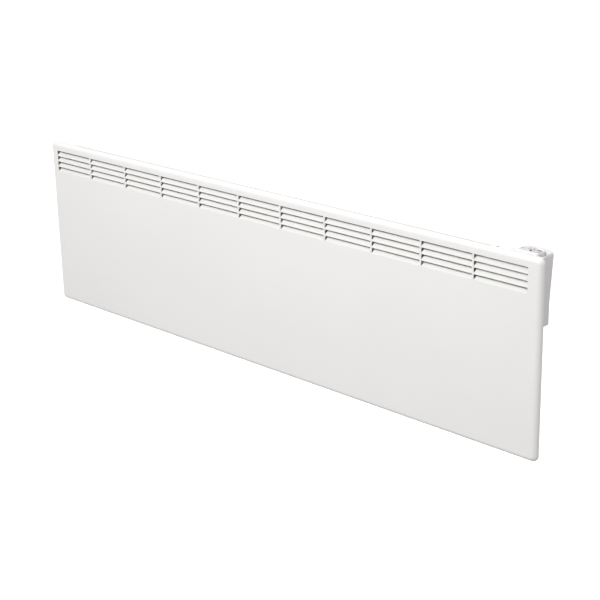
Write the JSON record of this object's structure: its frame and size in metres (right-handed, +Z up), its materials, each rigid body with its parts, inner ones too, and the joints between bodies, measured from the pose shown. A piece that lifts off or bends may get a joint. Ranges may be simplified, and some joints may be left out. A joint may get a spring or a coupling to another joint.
{
  "type": "electric panel heater",
  "caption": "Long, low wall-hung electric convection heater with a louvred front panel, finned element, thermostat housing behind one top corner, and a wall bracket it tilts out from.",
  "frame": {"origin": "on the wall, at the middle of the bracket rail's rear face", "axes": "+X to the right along the heater's length as seen from the room, +Y into the wall, +Z up"},
  "size_m": [1.436, 0.085, 0.4064],
  "materials": {
    "white_enamel": "semi-gloss powder-baked enamel",
    "galvanised_steel": "spangled zinc coating",
    "extruded_aluminium": "as extruded, die lines along its length",
    "element_sheath": "oxidised sheath",
    "steatite": "unglazed ceramic",
    "zinc_plated_steel": "bright zinc plate",
    "spring_steel": "bright rolled strip",
    "brass": "machined",
    "white_abs": "fine moulded texture",
    "grey_white_abs": "satin moulding",
    "black_phenolic": "moulded",
    "black_nylon": "moulded",
    "black_rubber": "matte",
    "lamp_lens": "clear red",
    "circuit_board": "solder mask",
    "brown_insulation": "extruded",
    "blue_insulation": "extruded",
    "green_insulation": "extruded"
  },
  "bodies": {
    "bracket": {"bracket_rail": "galvanised_steel", "bracket_arm_left": "galvanised_steel", "latch_spring_left": "spring_steel", "latch_rivet_left": "zinc_plated_steel", "bracket_arm_right": "galvanised_steel", "latch_spring_right": "spring_steel", "latch_rivet_right": "zinc_plated_steel", "rail_rivet_left_1": "zinc_plated_steel", "rail_rivet_left_2": "zinc_plated_steel", "rail_rivet_right_1": "zinc_plated_steel", "rail_rivet_right_2": "zinc_plated_steel"},
    "heater": {"front_panel": "white_enamel", "rear_casing": "galvanised_steel", "heat_shield": "galvanised_steel", "air_guide": "galvanised_steel", "element_profile": "extruded_aluminium", "heating_rod": "element_sheath", "ceramic_bead_left": "steatite", "ceramic_bead_right": "steatite", "element_hanger_left": "galvanised_steel", "element_hanger_middle": "galvanised_steel", "element_hanger_right": "galvanised_steel", "overheat_cutout": "black_phenolic", "thermostat_housing": "white_abs", "control_cover": "white_abs", "switch_body": "black_phenolic", "indicator_lens": "lamp_lens", "thermostat_body": "black_phenolic", "control_board": "circuit_board", "terminal_block": "grey_white_abs", "cable_gland": "black_nylon", "gland_nut": "black_nylon", "lead_grommet": "black_rubber", "live_lead": "brown_insulation", "neutral_lead": "blue_insulation", "earth_lead": "green_insulation", "earth_screw": "brass", "casing_screw_1": "zinc_plated_steel", "casing_screw_2": "zinc_plated_steel", "casing_screw_3": "zinc_plated_steel", "casing_screw_4": "zinc_plated_steel", "casing_screw_5": "zinc_plated_steel", "casing_screw_6": "zinc_plated_steel", "casing_screw_7": "zinc_plated_steel", "casing_screw_8": "zinc_plated_steel", "housing_screw_1": "zinc_plated_steel", "housing_screw_2": "zinc_plated_steel", "housing_screw_3": "zinc_plated_steel", "hang_lug_left": "galvanised_steel", "hang_pin_left": "zinc_plated_steel", "hang_lug_right": "galvanised_steel", "hang_pin_right": "zinc_plated_steel"},
    "thermostat_dial": {"dial": "grey_white_abs", "dial_shaft": "zinc_plated_steel"},
    "power_rocker": {"switch_rocker": "grey_white_abs"}
  },
  "joints": [
    {"name": "heater_tilt", "type": "hinge", "parent": "bracket", "child": "heater", "pos_m": [0, -0.022, -0.15], "axis": [1, 0, 0], "range_deg": [0, 15]},
    {"name": "dial_turn", "type": "hinge", "parent": "heater", "child": "thermostat_dial", "pos_m": [0.67, -0.05677, 0.173], "axis": [0, 0, -1], "range_deg": [0, 270]},
    {"name": "rocker_tilt", "type": "hinge", "parent": "heater", "child": "power_rocker", "pos_m": [0.688, -0.05677, 0.1706], "axis": [1, 0, 0], "range_deg": [0, 14]}
  ]
}
